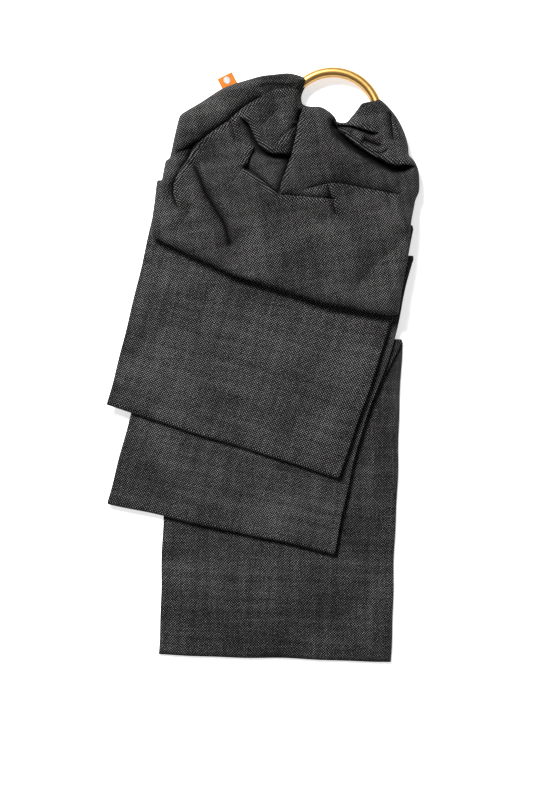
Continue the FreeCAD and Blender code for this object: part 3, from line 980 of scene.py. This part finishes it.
# %% [markdown]
# ## The tag
# A woven ribbon, folded double over the edge of the hood, with a plain white dot embroidered on
# it. The ribbon is one strip with a round turn at its outer end.

# %% Ribbon and dot
TAG = [(-105.3, 35.4), (-92.2, 42.1), (-86.2, 30.5), (-99.9, 25.3)]
TAG_THICKNESS = 0.45
tag_low, tag_high = (np.array(corner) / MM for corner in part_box("woven_tag"))
tag_corners = np.array(TAG) + ring_centre
tag_middle = (tag_low[2] + tag_high[2]) / 2
half_gap = (tag_high[2] - tag_low[2]) / 2 - TAG_THICKNESS / 2
outer_left, outer_right, inner_right, inner_left = tag_corners
tag_length = np.linalg.norm(inner_left - outer_left)
turn_share = half_gap / tag_length
profile = [(t, 1.0) for t in np.linspace(1.25, turn_share, 14)]
profile += [
    (turn_share - turn_share * math.sin(a), math.cos(a)) for a in np.linspace(0, math.pi, 7)[1:-1]
]
profile += [(t, -1.0) for t in np.linspace(turn_share, 1.25, 14)]
rows_uv, tag_points = [], []
travelled = 0.0
for i, (t, side) in enumerate(profile):
    left = outer_left + (inner_left - outer_left) * t
    right = outer_right + (inner_right - outer_right) * t
    travelled += tag_length * abs(t - profile[i - 1][0]) if i else 0
    for u in np.linspace(0, 1, 12):
        x, y = left + (right - left) * u
        curl = 0.25 * math.sin(3 * u + 2 * t)
        tag_points.append((x, y, tag_middle + side * half_gap + curl))
        rows_uv.append((u * 14.7, travelled))
ribbon, tree, shader = new_material("orange woven ribbon", 0.65)
shader.inputs["Sheen Weight"].default_value = 0.03
shader.inputs["Specular IOR Level"].default_value = 0.12
uv_place = node(tree, "ShaderNodeUVMap", uv_map="cloth_mm").outputs[0]
weave = maths(
    tree, "ADD", thread_noise(tree, uv_place, 6.0, 0.4), thread_noise(tree, uv_place, 0.4, 6.0)
)
tint = ramp(tree, weave, [(0.75, (0.34, 0.085, 0.005)), (1.2, (0.46, 0.13, 0.01))])
tree.links.new(tint, shader.inputs["Base Color"])
rib = node(tree, "ShaderNodeBump", Strength=0.4, Distance=0.0002)
tree.links.new(weave, rib.inputs["Height"])
tree.links.new(rib.outputs[0], shader.inputs["Normal"])
tag = piece_from("ribbon_tag", tag_points, grid_faces(len(profile), 12), rows_uv, ribbon)
thicken(tag, TAG_THICKNESS)
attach(tag, "tag")
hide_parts("woven_tag")
print("tag ribbon", round(travelled, 1), "mm long")

# %% An embroidered dot
white_thread, tree, shader = new_material("white embroidery thread", 0.5)
place = node(tree, "ShaderNodeTexCoord").outputs["Object"]
fibre = node(tree, "ShaderNodeTexNoise", Scale=3000.0, Detail=2.0)
tree.links.new(place, fibre.inputs["Vector"])
tint = ramp(tree, fibre.outputs["Fac"], [(0.3, (0.36, 0.35, 0.34)), (0.7, (0.52, 0.51, 0.5))])
tree.links.new(tint, shader.inputs["Base Color"])
DOT_RADIUS = 3.4
side_way = (outer_right - outer_left) / np.linalg.norm(outer_right - outer_left)
out_way = np.array([-side_way[1], side_way[0]])
dot_centre = tag_corners.mean(0) + 1.4 * out_way
points, faces = [], []
for offset in np.arange(-DOT_RADIUS + 0.3, DOT_RADIUS, 0.5):
    reach = math.sqrt(DOT_RADIUS**2 - offset**2)
    ends = []
    for way in (-reach, reach):
        x, y = dot_centre + out_way * offset + side_way * way
        ends.append(np.array((x, y, tag_high[2] + 0.3)))
    new_points, new_faces = dash(*ends, 0.32)
    faces += [tuple(v + len(points) for v in face) for face in new_faces]
    points += new_points
dot = piece_from("tag_dot", points, faces, np.zeros((len(points), 2)), white_thread)
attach(dot, "tag")
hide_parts("tag_stitches")
print("dot", round(2 * DOT_RADIUS, 1), "mm across")

# %% [markdown]
# ## The rings
# Sling rings are bent from aluminium bar, welded, polished and anodised. The frame's rings have
# the right shape, so they stay, and get a satin gold finish: metal under a thin coat, with
# faint polishing lines round the bar.

# %% Gold anodised aluminium
gold, tree, shader = new_material("gold anodised aluminium", 0.3, Metallic=1.0)
place = node(tree, "ShaderNodeTexCoord").outputs["Object"]
lines = node(tree, "ShaderNodeTexNoise", Scale=900.0, Detail=2.0)
tree.links.new(place, lines.inputs["Vector"])
tint = ramp(tree, lines.outputs["Fac"], [(0.3, (0.47, 0.265, 0.075)), (0.7, (0.56, 0.33, 0.105))])
tree.links.new(tint, shader.inputs["Base Color"])
scuff = node(tree, "ShaderNodeMapRange")
scuff.inputs["To Min"].default_value = 0.34
scuff.inputs["To Max"].default_value = 0.46
tree.links.new(lines.outputs["Fac"], scuff.inputs["Value"])
tree.links.new(scuff.outputs[0], shader.inputs["Roughness"])
for name in ("upper_ring", "lower_ring"):
    ring = frame["nodes"][name]
    ring.data.materials.clear()
    ring.data.materials.append(gold)
    ring.data.polygons.foreach_set("use_smooth", [True] * len(ring.data.polygons))

# %% [markdown]
# ## Floor, camera and light
# The sling lies on a pale table that is lit a little from below, as small goods are often
# shown. The camera looks straight down. A key light comes low from the top left, so that
# folds throw short dark shadows towards the front, and a plain bright room fills the rest.

# %% Floor and camera
floor_mesh = bpy.data.meshes.new("floor")
TABLE = 20.0
floor_corners = [(-TABLE, -TABLE, 0), (TABLE, -TABLE, 0), (TABLE, TABLE, 0), (-TABLE, TABLE, 0)]
floor_mesh.from_pydata(floor_corners, [], [(0, 1, 2, 3)])
floor = bpy.data.objects.new("floor", floor_mesh)
bpy.context.scene.collection.objects.link(floor)
floor_paint, tree, shader = new_material("pale table", 0.9, Specular_IOR_Level=0.1)
shader.inputs["Base Color"].default_value = (0.86, 0.86, 0.86, 1)
shader.inputs["Emission Color"].default_value = (1, 1, 1, 1)
shader.inputs["Emission Strength"].default_value = 0.6
floor_mesh.materials.append(floor_paint)

LENS, SENSOR = 85.0, 36.0
VIEW_HEIGHT = 0.736
camera_data = bpy.data.cameras.new("camera")
camera_data.lens = LENS
camera_data.sensor_fit = "VERTICAL"
camera_data.sensor_height = SENSOR
camera = bpy.data.objects.new("camera", camera_data)
camera.location = (0.0036, -0.0314, VIEW_HEIGHT * LENS / SENSOR)
bpy.context.scene.collection.objects.link(camera)
bpy.context.scene.camera = camera
print("camera height", round(camera.location.z, 3), "m")


# %% Lights
def lamp(name, place, size, power):
    data = bpy.data.lights.new(name, "AREA")
    data.energy = power
    data.size = size
    made = bpy.data.objects.new(name, data)
    made.location = place
    made.rotation_euler = (-Vector(place)).to_track_quat("-Z", "Y").to_euler()
    bpy.context.scene.collection.objects.link(made)


KEY_POWER = 78
lamp("key", (-0.55, 0.95, 1.6), 0.45, KEY_POWER)
print("key lamp", KEY_POWER, "W")
world = bpy.data.worlds.new("plain room")
world.use_nodes = True
room = world.node_tree.nodes["Background"]
room.inputs["Color"].default_value = (1, 1, 1, 1)
room.inputs["Strength"].default_value = 0.32
bpy.context.scene.world = world
bpy.context.scene.view_settings.view_transform = "Standard"
